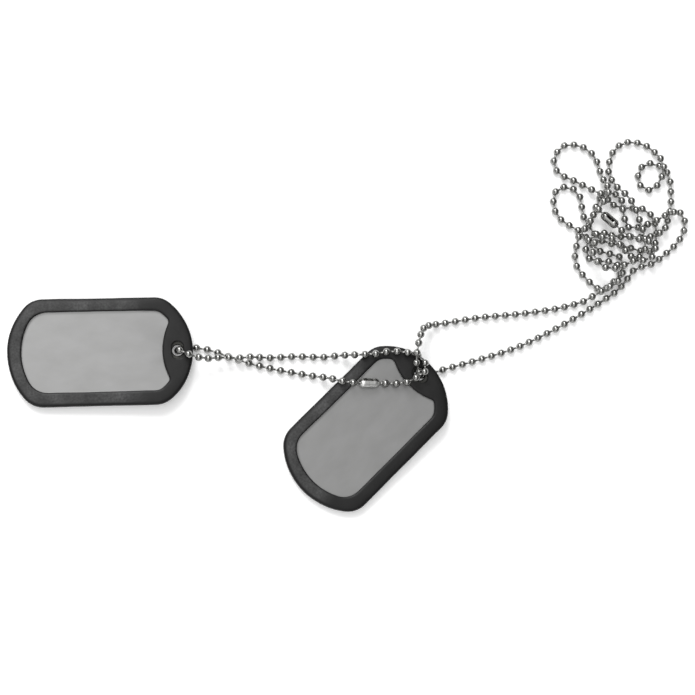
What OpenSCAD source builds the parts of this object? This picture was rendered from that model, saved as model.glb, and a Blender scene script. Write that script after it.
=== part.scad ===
// Two identification tags, each a steel plate in a rubber silencer, joined by a short and a long ball chain.
// The set lies on a surface at z = 0, and the origin is the middle of its footprint.

/* [Plate] */
// Length of the steel plate
plate_l = 50.8; // [48:0.2:54]
// Width of the steel plate
plate_w = 28.6; // [27:0.2:31]
// Thickness of the sheet
sheet_t = 0.5; // [0.4:0.05:0.7]
// Thickness of the rolled edge
roll_t = 1; // [0.8:0.05:1.2]
// Width of the rolled edge
roll_w = 1.2; // [1:0.1:2]
// Diameter of the chain hole
hole_d = 3.2; // [3:0.1:4]
// Distance from the plate's end to the middle of the chain hole
hole_in = 3; // [3:0.1:4.4]

/* [Silencer] */
// Rubber outside the plate's edge
wall = 1.4; // [1:0.1:2]
// Thickness of each lip over the rolled edge
lip_t = 0.8; // [0.6:0.1:1.4]
// Reach of the lips along the sides
side_lip = 4; // [3:0.1:5]
// Reach of the lips at the far end
far_lip = 4.1; // [3:0.1:5]
// Radius of the outside edges
edge_r = 0.9; // [0.4:0.1:1.2]
// Radius of the far end's arc
far_end_r = 20.5; // [18:0.5:24]
// Radius of the arc at the hole's end
hole_end_r = 18.5; // [17:0.5:22]
// Radius of the outside corners
corner_r = 7; // [5:0.5:9]
// Radius of the window's far end
window_end_r = 18.5; // [16:0.5:22]
// Radius of the window's far corners
window_corner_r = 6; // [4:0.5:7]
// Radius of the web's edge in the window
web_r = 18; // [10:0.5:24]
// Distance from the hole to the web's edge in the window
web_reach = 4.5; // [3.6:0.1:6]
// Length of the oval eyelet through the rubber, across the tag
eyelet_l = 5.2; // [4.6:0.1:6]
// Width of the eyelet, along the tag
eyelet_w = 3.4; // [3.2:0.1:4.2]

/* [Chains] */
// Diameter of a ball
ball_d = 2.3; // [2:0.05:2.4]
// Diameter of the wire pins
pin_d = 0.6; // [0.4:0.05:0.8]
// Distance from ball to ball in the short chain
short_pitch = 3.25; // [3.1:0.05:3.6]
// Length of a snap connector
snap_l = 6.4; // [6:0.1:7.2]
// Thickness of the connector's sheet
snap_t = 0.2; // [0.15:0.05:0.3]

/* [Fit] */
// Clearance between a plate and its silencer
fit = 0.1; // [0.05:0.05:0.3]
// Clearance round the balls and pins
play = 0.1; // [0.1:0.05:0.2]

/* [Hidden] */
$fn = 64;

// Where the middle of each tag lies, and how far its hole's end is turned from +X
LEFT_TAG = [-77.5, -12.5, 2];
RIGHT_TAG = [1.5, -33.5, 45];

silencer_l = plate_l + 2 * (wall + fit);
silencer_w = plate_w + 2 * (wall + fit);
groove_t = roll_t + 2 * fit;
silencer_t = groove_t + 2 * lip_t;
hole_x = plate_l / 2 - hole_in;
snap_bore_d = ball_d + 2 * play;
snap_d = snap_bore_d + 2 * snap_t;
pin_bore_d = pin_d + 2 * play;
// A strand of chain lies under each web, so the hole's end is raised and the far end rests on the surface
tilt = asin((ball_d + 2 * play) / (hole_x + silencer_l / 2 - edge_r));
lift = (silencer_l / 2 - edge_r) * sin(tilt) + (silencer_t / 2 - edge_r) * cos(tilt) + edge_r;
hole_h = lift + hole_x * sin(tilt) - ball_d / 2;

// Where the middle of each connector lies, the way that it points, and how far its slot is turned from straight up
SHORT_SNAP = [[1.7, -20.5, 4.6], [6.4, 0, -0.6], -35];
LONG_SNAP = [[77.5, 31.5, 2.95], [5, -4, -0.1], 0];
function mouth(snap, side) = snap[0] + side * snap_l / 2 * snap[1] / norm(snap[1]);

// A row of a route is x, y and the height of the chain's middle line above a ball that lies on the surface.
// Each route goes from one mouth of its connector to the other
function hole_at(tag, dx, dy, h) = [tag[0] + hole_x * cos(tilt) * cos(tag[2]) + dx,
                                    tag[1] + hole_x * cos(tilt) * sin(tag[2]) + dy, h];

SHORT_ROUTE = [
    mouth(SHORT_SNAP, 1), [8, -20.5, 4.3], [11, -20.5, 4.9], [13.5, -20, 6], [16, -18.5, 7.8], [18.4, -16.5, 7.3],
    [18.1, -14, 6.1], [15.8, -11.8, 5.5], [12, -11.2, 5.6], [8.5, -11, 5.6], [5, -11.5, 5.4], [2.5, -12, 5.3],
    [-1, -12, 4.5], [-4, -12, 2.5], [-7, -12, 0.6], [-10.5, -12.5, 0], [-20, -12.5, 0], [-27, -13, 0],
    [-30, -13, 0.4], [-33, -13, 1.6], [-36, -13.5, 2.4], [-39.5, -13.5, 2.6], [-42.5, -13.5, 2.8],
    [-45.5, -14, 3.8], [-48.5, -14, 5.3], [-51, -13.5, 5.8], [-53.5, -12.5, 5.7],
    hole_at(LEFT_TAG, 0.3, 0, hole_h + 1.7), hole_at(LEFT_TAG, 0, 0, hole_h),
    hole_at(LEFT_TAG, 0.3, 0.2, hole_h - 1.7), [-53.5, -11, 0], [-51, -10.5, 0], [-46, -11, 0], [-39.5, -13, 0],
    [-33, -15, 0], [-26, -16.5, 0], [-16.5, -18, 0], [-13, -18.5, 0.5], [-10, -19, 2.4], [-7, -20, 4.4],
    [-4, -20.5, 5.2], mouth(SHORT_SNAP, -1)
];
PILE_OUT = [
    // From the connector through the middle of the pile and up to the top loop
    mouth(LONG_SNAP, 1), [81, 28.7, 2.9], [82.6, 27, 3.6], [84.8, 25.6, 4.8], [88, 25.3, 5.1], [91, 23.6, 5.1],
    [91, 20.6, 5.1], [87.6, 18.8, 5.1], [83.6, 18.4, 5.1], [80, 16.6, 5.1], [76, 16, 5.1], [72.6, 18, 5.1],
    [71.2, 21.4, 5.1], [72.6, 24.8, 5.1], [76, 25.8, 5.1], [79.4, 24, 4.9], [82.4, 22, 3.2], [84.6, 20.6, 1.6],
    [86.5, 20, 1], [88.5, 21.5, 2.2], [89, 24, 2.6], [88.5, 28, 2.6], [87, 32.5, 2.6], [85.5, 36.5, 2.8],
    [83, 39.5, 3.5], [81, 41, 3], [79.5, 43.5, 1.8], [78.5, 46, 0.3], [78.5, 49, 0], [79.5, 53, 0],
    [83, 56.5, 0], [87.5, 57, 0], [92, 55.5, 0], [94, 53.5, 0.2],
    // The curl inside the top loop, which is crossed by its own start
    [95, 51.5, 1.9], [95.5, 49.5, 2.5], [95.5, 47.5, 2.2], [95, 45.5, 1], [94, 43.5, 0.1], [91.5, 42, 0],
    [88.5, 43.5, 0], [88, 47, 0], [90, 50, 0], [93, 50.5, 0], [95.5, 49.5, 0], [98, 47, 0], [98.5, 43, 0],
    [98.5, 38, 0], [98, 35, 0], [97, 32, 0.4], [96, 30, 1.6],
    // Back through the middle, round the inner bend and out towards the tags
    [94.5, 28.5, 2.5], [92.5, 27.5, 2.4], [91, 27, 1], [89.5, 27, 0.1], [83, 27, 0], [80, 27, 0],
    [77, 27.5, 1.2], [74.5, 27.5, 2.5], [72.5, 26.5, 2.5], [70.5, 24.5, 2.2], [70.5, 22, 0.5], [72, 19.5, 0],
    [77.5, 19, 0], [79.5, 18.5, 0.7], [81, 16.5, 2.3], [81.5, 14.5, 2.5], [80, 12.5, 2.4], [75, 9.5, 2.4],
    [72.5, 8, 1.2]
];
// The upper strand of the run, down through the hole of the tag, and the lower strand back
RUN = [
    [70, 6.5, 0], [61.5, 4, 0], [49.5, 2, 0], [36.5, 0.5, 0], [25.5, -1.5, 0], [22.5, -2, 0.8], [20.5, -2.5, 2.2],
    [18.5, -3.5, 4.2], [17, -6, 6.4], [16, -9, 7.8], [15.5, -11.5, 8.1], [15.4, -13.7, 7.5], [15.8, -15.5, 6.3],
    hole_at(RIGHT_TAG, -0.6, 0.7, hole_h + 2.4), hole_at(RIGHT_TAG, 0, 0, hole_h),
    hole_at(RIGHT_TAG, 0.4, 0.2, hole_h - 1.8), [19.5, -17.5, 0], [24, -16, 0], [36, -12.5, 0], [48, -8.5, 0],
    [59.5, -3, 0], [70, 3, 0]
];
PILE_BACK = [
    // The right-hand loop, and its strand across the pile and round the inner loop
    [75.5, 6.5, 0], [80.5, 10, 0], [84.5, 14.5, 0], [86.5, 17, 0], [91.5, 18.5, 0], [96.5, 22, 0], [101, 26.5, 0],
    [103, 31, 0], [102.5, 33.5, 0.2], [101, 35, 1.1], [99.5, 35, 2.3], [97.5, 34.5, 2.5], [94.5, 33, 2.5],
    [92, 31.5, 2.3], [90.5, 31, 1], [89, 30.5, 0.1], [87, 30, 0], [84.5, 30, 0], [83, 32, 1.2], [82, 34.5, 2.3],
    [82, 36, 2.5], [82, 37.5, 2.2], [81.5, 39, 0.7], [79.5, 41, 0], [77.5, 41, 0], [75.5, 39, 0],
    [73.5, 34.5, 0.1], [72.5, 32.5, 1.7], [71, 30.5, 2.6], [69.5, 28.5, 2.6], [68, 26.5, 2], [67.5, 24.5, 0.6],
    [67.5, 22, 0], [67, 19.5, 0], [68, 16.5, 0], [71.5, 12.5, 0], [75.5, 10, 0], [78, 11.5, 0], [81, 14.5, 0],
    [82.5, 17, 0], [82.5, 19.5, 0], [80.5, 21, 0], [75.5, 22, 0],
    // The left-hand middle loop
    [73, 24, 0], [69, 28, 0], [64.5, 30.5, 0], [62, 32.5, 0], [60.5, 36, 0], [61, 40, 0], [62.5, 41.5, 0],
    [65, 42, 0], [67.5, 41, 0], [69, 39, 0], [69.5, 36, 0], [70, 33, 0], [71, 31, 0], [74.5, 26.5, 0],
    [77, 25, 0],
    // Across the pile to the right, back along its upper side and round the top left-hand loop
    [80.5, 24.5, 0], [85, 23.5, 0], [89, 22.5, 0], [91, 22.5, 0], [92.5, 24, 0], [93.5, 27, 0], [93, 32, 0],
    [91.5, 34.5, 0], [89, 36, 0], [83, 36, 0], [80.5, 36.5, 0], [78.5, 37.5, 0.8], [77, 38.5, 2.1],
    [75.5, 39.5, 2.5], [73, 41, 1.2], [70.5, 42.5, 0.2], [67.5, 44, 0], [65, 45, 0], [62.5, 46, 0],
    [61, 48.5, 0], [61, 51.5, 0], [64, 55, 0], [67, 55.5, 0], [70, 55, 0], [74, 52, 0], [75, 49, 0],
    [76, 46, 0.2], [76.5, 43.5, 1.8], [77, 41.5, 3.8], [76.5, 39.5, 5],
    [75.4, 37.2, 4.6], [74, 35.8, 3.7], [74, 34.3, 3.1],
    mouth(LONG_SNAP, -1)
];
LONG_ROUTE = concat(PILE_OUT, RUN, PILE_BACK);

// The middle of the short chain's connector starts and ends its loop, and the end balls sit inside it
snap_mid = SHORT_SNAP[0];
end_ball = (snap_l - snap_d) / 2;
SHORT_LOOP = concat([snap_mid], SHORT_ROUTE, [snap_mid]);

// Smooth curve through the points of a route: each piece is a cubic with length-scaled end directions
function bend(a, b, c) = (c - a) / (norm(c - b) + norm(b - a));
function cubic(a, b, ta, tb, s) = (2 * s * s * s - 3 * s * s + 1) * a + (s * s * s - 2 * s * s + s) * ta
                                + (3 * s * s - 2 * s * s * s) * b + (s * s * s - s * s) * tb;
function slope(a, b, ta, tb, s) = (6 * s * s - 6 * s) * (a - b) + (3 * s * s - 4 * s + 1) * ta
                                + (3 * s * s - 2 * s) * tb;
function unit(v) = v / norm(v);
function raised(p) = [p[0], p[1], p[2] + ball_d / 2];
function at(route, i) = raised(route[(i + len(route)) % len(route)]);
function piece(route, i, step, fn) =
    let(a = at(route, i), b = at(route, i + 1), l = norm(b - a), n = max(1, round(l / step)),
        ta = l * bend(at(route, i - 1), a, b), tb = l * bend(a, b, at(route, i + 2)))
    [for (j = [0 : n - 1]) fn == "dir" ? unit(slope(a, b, ta, tb, j / n)) : cubic(a, b, ta, tb, j / n)];
function trace(route, first, last, step, fn) =
    [for (i = [first : last - 1]) each piece(route, i, step, fn)];
function route_end(route, i, fn) =
    fn == "dir" ? unit(bend(at(route, i - 1), at(route, i), at(route, i + 1))) : at(route, i);
function stretch(route, first, last, step, fn) =
    concat(trace(route, first, last, step, fn), [route_end(route, last, fn)]);

// Normals carried along a list of directions without twist
function carry(dirs, u, i = 0) = i == len(dirs) ? [] :
    let(n = unit(u - (u * dirs[i]) * dirs[i])) concat([n], carry(dirs, n, i + 1));

module sweep(pts, dirs, r, sides) {
    n = len(pts);
    side = carry(dirs, cross([0, 0, 1], dirs[0]));
    rings = [for (i = [0 : n - 1]) for (k = [0 : sides - 1]) let(a = 360 * (k + 0.5) / sides)
        pts[i] + r * (cos(a) * side[i] + sin(a) * cross(dirs[i], side[i]))];
    caps = [[for (k = [0 : sides - 1]) k], [for (k = [sides - 1 : -1 : 0]) (n - 1) * sides + k]];
    skin = [for (i = [0 : n - 2]) for (k = [0 : sides - 1]) let(m = (k + 1) % sides)
        [i * sides + k, (i + 1) * sides + k, (i + 1) * sides + m, i * sides + m]];
    polyhedron(points = rings, faces = concat(caps, skin));
}

// Outline of a tag round its middle: sides at half width w, arcs through x = -xf and x = xh, four corners
function arc_points(x, y, r, from, to, n, last) =
    [for (i = [0 : last]) let(a = from + (to - from) * i / n) [x + r * cos(a), y + r * sin(a)]];
function outline(xf, xh, w, rf, rh, cf, ch) =
    let(ax = xh - rh, bx = rf - xf,
        hx = ax + sqrt(pow(rh - ch, 2) - pow(w - ch, 2)), ha = atan2(w - ch, hx - ax),
        fx = bx - sqrt(pow(rf - cf, 2) - pow(w - cf, 2)), fa = atan2(w - cf, bx - fx))
    concat(arc_points(ax, 0, rh, -ha, ha, 12, 11), arc_points(hx, w - ch, ch, ha, 90, 6, 6),
           arc_points(fx, w - cf, cf, 90, 180 - fa, 6, 5), arc_points(bx, 0, rf, 180 - fa, 180 + fa, 12, 11),
           arc_points(fx, cf - w, cf, 180 + fa, 270, 6, 6), arc_points(hx, ch - w, ch, 270, 360 - ha, 6, 5));
function outside(i) = outline(silencer_l / 2 - i, silencer_l / 2 - i, silencer_w / 2 - i, far_end_r - i,
                              hole_end_r - i, corner_r - i, corner_r - i);

module slab() {
    core = silencer_t / 2 - edge_r;
    turns = [for (a = [-90 : 30 : 0]) [a, -core], for (a = [0 : 30 : 90]) [a, core]];
    n = len(outside(0));
    rings = [for (t = turns) for (p = outside(edge_r * (1 - cos(t[0])))) [p[0], p[1], t[1] + edge_r * sin(t[0])]];
    caps = [[for (k = [n - 1 : -1 : 0]) k], [for (k = [0 : n - 1]) (len(turns) - 1) * n + k]];
    skin = [for (i = [0 : len(turns) - 2]) for (k = [0 : n - 1]) let(m = (k + 1) % n)
        [i * n + k, i * n + m, (i + 1) * n + m, (i + 1) * n + k]];
    polyhedron(points = rings, faces = concat(caps, [for (f = skin) [f[0], f[1], f[2], f[3]]]));
}

module window() {
    difference() {
        linear_extrude(height = silencer_t + 2, center = true)
            polygon(outline(silencer_l / 2 - far_lip, silencer_l / 2 - side_lip, silencer_w / 2 - side_lip,
                            window_end_r, hole_end_r - side_lip, window_corner_r, corner_r - side_lip));
        translate([hole_x - web_reach + web_r, 0, 0])
            cylinder(h = silencer_t + 4, r = web_r, center = true, $fn = 96);
    }
}

// An oval: two round ends and the straight part between them
module eyelet() {
    straight = eyelet_l - eyelet_w;
    for (side = [-1, 1])
        translate([0, side * straight / 2, 0])
            cylinder(h = silencer_t + 2, d = eyelet_w, center = true);
    cube([eyelet_w, straight, silencer_t + 2], center = true);
}

module silencer() {
    difference() {
        slab();
        linear_extrude(height = groove_t, center = true)
            polygon(outside(wall));
        window();
        translate([hole_x, 0, 0])
            eyelet();
    }
}

module plate() {
    difference() {
        union() {
            linear_extrude(height = sheet_t, center = true)
                polygon(outside(wall + fit));
            linear_extrude(height = roll_t, center = true)
                difference() {
                    polygon(outside(wall + fit));
                    polygon(outside(wall + fit + roll_w));
                }
        }
        translate([hole_x, 0, 0])
            cylinder(h = roll_t + 2, d = hole_d, center = true);
    }
}

module lay(tag) {
    translate([tag[0], tag[1], lift])
        rotate([0, 0, tag[2]])
            rotate([0, -tilt, 0])
                children();
}

module point_along(d) {
    rotate([0, acos(d[2]), atan2(d[1], d[0])])
        children();
}

// Places of the short chain's balls, spaced evenly along the loop from one end ball to the other
loop_step = 0.5;
loop_pts = stretch(SHORT_LOOP, 1, len(SHORT_LOOP) - 2, loop_step, "pos");
loop_path = concat([raised(snap_mid)], loop_pts, [raised(snap_mid)]);
loop_s = [for (i = 0, s = 0; i < len(loop_path); i = i + 1,
               s = s + (i < len(loop_path) ? norm(loop_path[i] - loop_path[i - 1]) : 0)) s];
loop_l = loop_s[len(loop_s) - 1];
short_gaps = round((loop_l - 2 * end_ball) / short_pitch);
function on_loop(s) =
    [for (axis = [0 : 2]) lookup(s, [for (i = [0 : len(loop_s) - 1]) [loop_s[i], loop_path[i][axis]]])];
ball_s = [for (k = [0 : short_gaps]) end_ball + k * (loop_l - 2 * end_ball) / short_gaps];
balls = [for (s = ball_s) on_loop(s)];
ball_dirs = [for (s = ball_s) unit(on_loop(s + loop_step) - on_loop(s - loop_step))];

module short_balls() {
    for (k = [0 : short_gaps])
        translate(balls[k])
            point_along(ball_dirs[k])
                difference() {
                    sphere(d = ball_d);
                    cylinder(h = ball_d + 1, d = pin_bore_d, center = true, $fn = 24);
                }
}

module short_wire() {
    reach = ball_d / 2 + play;
    pts = concat([balls[0]],
                 [for (k = [0 : short_gaps]) for (e = [-1, 1])
                     if (k + e > -1 && k + e < short_gaps + 1) balls[k] + e * reach * ball_dirs[k]],
                 [balls[short_gaps]]);
    n = len(pts);
    dirs = [for (i = [0 : n - 1]) unit(unit(pts[min(i + 1, n - 1)] - pts[i == n - 1 ? n - 2 : i])
                                       + unit(pts[i == 0 ? 1 : i] - pts[max(i - 1, 0)]))];
    sweep(pts, dirs, pin_d / 2, 6);
}

module capsule(d, l) {
    cylinder(h = l - d, d = d, center = true, $fn = 48);
    for (e = [-1, 1])
        translate([0, 0, e * (l - d) / 2])
            sphere(d = d, $fn = 48);
}

// A sleeve with round ends that holds one ball at each end, open along its top
module snap_sleeve() {
    difference() {
        capsule(snap_d, snap_l);
        capsule(snap_bore_d, snap_l - 2 * snap_t);
        cylinder(h = snap_l + 2, d = pin_bore_d + 2 * play, center = true, $fn = 24);
        translate([-snap_d, 0, 0])
            cube([2 * snap_d, pin_bore_d, snap_l + 2], center = true);
    }
}

module snap(place) {
    translate(raised(place[0]))
        point_along(unit(place[1]))
            rotate([0, 0, place[2]])
                snap_sleeve();
}

// The long chain's balls and pins are stood for by a tube as thick as the balls
module long_tube(first, last) {
    ring_step = 3.6;
    sweep(stretch(LONG_ROUTE, first, last, ring_step, "pos"), stretch(LONG_ROUTE, first, last, ring_step, "dir"),
          ball_d / 2, 8);
}

module left_plate() {
    color([0.75, 0.75, 0.76])
        lay(LEFT_TAG)
            plate();
}

module left_silencer() {
    color([0.07, 0.07, 0.07])
        lay(LEFT_TAG)
            silencer();
}

module right_plate() {
    color([0.75, 0.75, 0.76])
        lay(RIGHT_TAG)
            plate();
}

module right_silencer() {
    color([0.07, 0.07, 0.07])
        lay(RIGHT_TAG)
            silencer();
}

module short_chain_balls() {
    color([0.8, 0.8, 0.81])
        short_balls();
}

module short_chain_wire() {
    color([0.7, 0.7, 0.71])
        short_wire();
}

module short_chain_connector() {
    color([0.8, 0.8, 0.81])
        snap(SHORT_SNAP);
}

module long_chain_run() {
    color([0.8, 0.8, 0.81])
        long_tube(len(PILE_OUT), len(PILE_OUT) + len(RUN) - 1);
}

module long_chain_pile() {
    color([0.8, 0.8, 0.81]) {
        long_tube(0, len(PILE_OUT));
        long_tube(len(PILE_OUT) + len(RUN) - 1, len(LONG_ROUTE) - 1);
    }
}

module long_chain_connector() {
    color([0.8, 0.8, 0.81])
        snap(LONG_SNAP);
}

left_plate();
left_silencer();
right_plate();
right_silencer();
short_chain_balls();
short_chain_wire();
short_chain_connector();
long_chain_run();
long_chain_pile();
long_chain_connector();
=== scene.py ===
# %% [markdown]
# # Two identification tags on ball chain
#
# The real thing is a worn set: two blank steel tags, each in a rubber silencer that stops them clinking, a
# short ball chain that carries the first tag, and a long neck chain that goes through the second tag and has
# the short chain hung on it. The set lies on a white surface and is seen from above.
#
# The construction model gives every piece its size and place. This lesson loads it as a fixed frame and then
# makes the pieces as they look: pressed steel, moulded rubber, and chains of hollow balls on pins. Everything
# is in metres, with +Z up and the surface at z = 0.

import math
import random

import bmesh
import bpy
import numpy as np
from mathutils import Matrix, Vector, noise
from mathutils.geometry import delaunay_2d_cdt


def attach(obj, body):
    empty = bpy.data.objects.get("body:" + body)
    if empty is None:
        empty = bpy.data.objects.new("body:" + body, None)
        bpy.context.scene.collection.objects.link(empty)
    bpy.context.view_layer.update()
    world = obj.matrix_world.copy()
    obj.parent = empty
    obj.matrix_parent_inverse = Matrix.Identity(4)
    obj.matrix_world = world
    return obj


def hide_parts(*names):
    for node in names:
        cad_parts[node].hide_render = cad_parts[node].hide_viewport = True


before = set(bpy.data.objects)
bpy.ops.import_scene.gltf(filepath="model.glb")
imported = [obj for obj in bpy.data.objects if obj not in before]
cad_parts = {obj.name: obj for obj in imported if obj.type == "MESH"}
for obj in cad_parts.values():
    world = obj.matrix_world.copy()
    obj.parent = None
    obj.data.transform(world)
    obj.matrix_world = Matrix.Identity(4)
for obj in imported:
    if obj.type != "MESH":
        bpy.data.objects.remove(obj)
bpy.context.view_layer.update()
MM = 0.001

# %% [markdown]
# ## The camera
#
# The photograph was taken from above with a long lens, leaning a little to the lower left of straight down.
# The lean and the distance were worked out from the two tags, which are equal in size but lie at different
# places in the picture. A matrix built from three directions places the camera without any guess about its
# roll: it looks along `ahead`, and the picture's upper edge is towards +Y. The lens follows from the distance
# in pixels at which the picture would have to be held to fit the real thing.

# %% Camera
EYE = Vector((-93.7, -74.8, 528.4)) * MM
AIM = Vector((-3.9, -9.3, 0)) * MM
PHOTO_SIDE = 695
FOCAL_LENGTH_PIXELS = 1796
SENSOR_WIDTH = 36
NEAREST = 10 * MM


def looking(place, aim):
    """Placement of a camera or a light at place that looks at aim, with its upper edge towards +Y."""
    ahead = (aim - place).normalized()
    right = ahead.cross(Vector((0, 1, 0))).normalized()
    up = right.cross(ahead)
    return Matrix.Translation(place) @ Matrix((right, up, -ahead)).transposed().to_4x4()


def make_camera():
    data = bpy.data.cameras.new("camera")
    data.sensor_width = SENSOR_WIDTH
    data.lens = SENSOR_WIDTH * FOCAL_LENGTH_PIXELS / PHOTO_SIDE
    data.clip_start = NEAREST
    camera = bpy.data.objects.new("camera", data)
    camera.matrix_world = looking(EYE, AIM)
    bpy.context.scene.collection.objects.link(camera)
    bpy.context.scene.camera = camera
    return camera


camera = make_camera()
print("camera:", round(camera.data.lens, 1), "mm lens,", round((AIM - EYE).length, 3), "m away")

# %% [markdown]
# ## Helpers for materials
#
# A colour is written as it reads on a screen, in sRGB hex, and one function turns it into the linear values
# that the shader wants. Patterns are sized by the real thing, so `per` turns a length into a noise scale.


# %% Colour and pattern sizes
def linear(hex_colour):
    parts = [int(hex_colour[i : i + 2], 16) / 255 for i in (1, 3, 5)]
    return [c / 12.92 if c < 0.04045 else ((c + 0.055) / 1.055) ** 2.4 for c in parts] + [1]


def per(size):
    return 1 / size


print("a screen's middle grey, #808080, is", round(linear("#808080")[0], 3), "in linear light")

# %% [markdown]
# A material is a small graph of nodes. One function adds a node: it takes the node's own settings, and for
# each socket either a value or the node that feeds it. Written this way a graph reads from its patterns to
# its shader.

# %% Nodes
SMOOTH = {"interpolation_type": "SMOOTHSTEP"}
COLOUR_MIX = {"data_type": "RGBA"}


def in_use(sockets, key):
    """A socket by its name or number among those that the node's settings leave in use."""
    free = [s for s in sockets if s.enabled]
    return free[key] if isinstance(key, int) else next(s for s in free if s.name == key)


def add(tree, kind, settings=None, sockets=None):
    """A node with its settings; a socket takes a value, an output, or a node's first output."""
    node = tree.nodes.new(kind)
    for name, value in (settings or {}).items():
        setattr(node, name, value)
    for key, value in (sockets or {}).items():
        if isinstance(value, bpy.types.Node):
            value = in_use(value.outputs, 0)
        if isinstance(value, bpy.types.NodeSocket):
            tree.links.new(value, in_use(node.inputs, key))
        else:
            in_use(node.inputs, key).default_value = value
    return node


def new_material(name):
    material = bpy.data.materials.new(name)
    material.use_nodes = True
    material.node_tree.nodes.clear()
    return material, material.node_tree


def finish_material(material, shader):
    tree = material.node_tree
    add(tree, "ShaderNodeOutputMaterial", sockets={"Surface": shader})
    print(material.name, "has", len(tree.nodes), "nodes")
    return material


# %% [markdown]
# ## Light and surface
#
# A small shiny object is lit by what it mirrors. The plates lie flat, so each mirrors one small part of the
# room overhead, and in the photograph the left one is clearly lighter than the right one, with no edge across
# either. So the main light is one long diffuser overhead, hung over the picture's upright direction,
# brightest a little to the left and feathered out into a dim room. The balls mirror it as a bright streak up
# the middle, and the room on both sides as dark flanks. Low down the room has pale walls, which the plates
# mirror when they are seen from a side. It is all drawn in the sky: how far a direction lies from the
# diffuser's middle, scaled by its reach in X and in Y, sets the brightness, and the walls are added where a
# direction rises little.

# %% Overhead diffuser and dim room
DIFFUSER_MIDDLE = (-0.22, 0.0, 0.0)
DIFFUSER_REACH = (0.72, 1.5)
DIFFUSER_STRENGTH = 2.2
ROOM_STRENGTH = 0.12
WALL_STRENGTH = 0.35
WALL_FADE = (0.2, 0.42)


def make_sky():
    world = bpy.data.worlds.new("studio")
    world.use_nodes = True
    tree = world.node_tree
    tree.nodes.clear()
    way = add(tree, "ShaderNodeTexCoord").outputs["Generated"]
    apart = add(tree, "ShaderNodeVectorMath", {"operation": "SUBTRACT"}, {0: way, 1: DIFFUSER_MIDDLE})
    scaled = add(tree, "ShaderNodeVectorMath", {"operation": "MULTIPLY"},
                 {0: apart, 1: (1 / DIFFUSER_REACH[0], 1 / DIFFUSER_REACH[1], 0)})
    distance = add(tree, "ShaderNodeVectorMath", {"operation": "LENGTH"}, {0: scaled}).outputs["Value"]
    strength = add(tree, "ShaderNodeMapRange", SMOOTH, {
        "Value": distance, "From Min": 0.0, "From Max": 1.0,
        "To Min": DIFFUSER_STRENGTH, "To Max": ROOM_STRENGTH})
    height = add(tree, "ShaderNodeSeparateXYZ", sockets={"Vector": way}).outputs["Z"]
    walls = add(tree, "ShaderNodeMapRange", SMOOTH, {
        "Value": height, "From Min": WALL_FADE[0], "From Max": WALL_FADE[1],
        "To Min": WALL_STRENGTH, "To Max": 0.0})
    all_round = add(tree, "ShaderNodeMath", {"operation": "ADD"}, {0: strength, 1: walls})
    sky = add(tree, "ShaderNodeBackground", sockets={"Color": linear("#FFFFFF"), "Strength": all_round})
    add(tree, "ShaderNodeOutputWorld", sockets={"Surface": sky})
    bpy.context.scene.world = world


make_sky()
bpy.context.scene.view_settings.view_transform = "Standard"
print("strength of the diffuser:", DIFFUSER_STRENGTH, "room:", ROOM_STRENGTH, "walls:", WALL_STRENGTH)

# %% [markdown]
# The faint shadows fall to the lower right, so a soft lamp stands at the upper left. It is an area lamp with
# a size, because a point would draw hard shadows.

# %% Soft lamp
LAMP_PLACE = (-0.36, 0.82, 1.00)
LAMP_SIDE = 0.5
LAMP_WATTS = 10


def make_lamp():
    data = bpy.data.lights.new("upper_left_softbox", "AREA")
    data.shape = "SQUARE"
    data.size = LAMP_SIDE
    data.energy = LAMP_WATTS
    lamp = bpy.data.objects.new("upper_left_softbox", data)
    lamp.matrix_world = looking(Vector(LAMP_PLACE), AIM)
    bpy.context.scene.collection.objects.link(lamp)
    print("soft lamp:", LAMP_WATTS, "W,", LAMP_SIDE, "m wide")


make_lamp()

# %% [markdown]
# The surface is a white acrylic sheet with a weak light under it, as on a product table. It stays paper white
# and keeps the shadows light. Its faint mottling is too weak to show at white, and shows only in the shadows.

# %% White surface
MOTTLING = 2 * MM
GLOW = 0.22
SURFACE_HALF = 3.0


def backlit_white_acrylic():
    material, tree = new_material("backlit_white_acrylic")
    place = add(tree, "ShaderNodeTexCoord").outputs["Object"]
    mottling = add(tree, "ShaderNodeTexNoise",
                   sockets={"Vector": place, "Scale": per(MOTTLING), "Detail": 3.0})
    tint = add(tree, "ShaderNodeMix", COLOUR_MIX,
               {"Factor": mottling, "A": linear("#F3F3F3"), "B": linear("#F7F7F7")})
    return finish_material(material, add(tree, "ShaderNodeBsdfPrincipled", sockets={
        "Base Color": tint, "Roughness": 0.7,
        "Emission Color": linear("#FFFFFF"), "Emission Strength": GLOW}))


def make_surface():
    mesh = bpy.data.meshes.new("white_surface")
    corners = [(x * SURFACE_HALF, y * SURFACE_HALF, 0) for x, y in ((-1, -1), (1, -1), (1, 1), (-1, 1))]
    mesh.from_pydata(corners, [], [(0, 1, 2, 3)])
    mesh.materials.append(backlit_white_acrylic())
    surface = bpy.data.objects.new("white_surface", mesh)
    bpy.context.scene.collection.objects.link(surface)


make_surface()

# %% [markdown]
# ## Outlines of a tag
#
# Seen from above, a tag is a rounded bar: two straight sides, an arc at each end, and four round corners. The
# same outline with other reaches and radii gives the rubber's outside, the groove in it, the plate, and the
# window, so it is one function of those values. The window's edge at the hole's end bulges inwards, because a
# web of rubber covers the chain hole there. The rubber is soft and was trimmed when it left the mould, so its
# edges wander a little.

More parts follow.
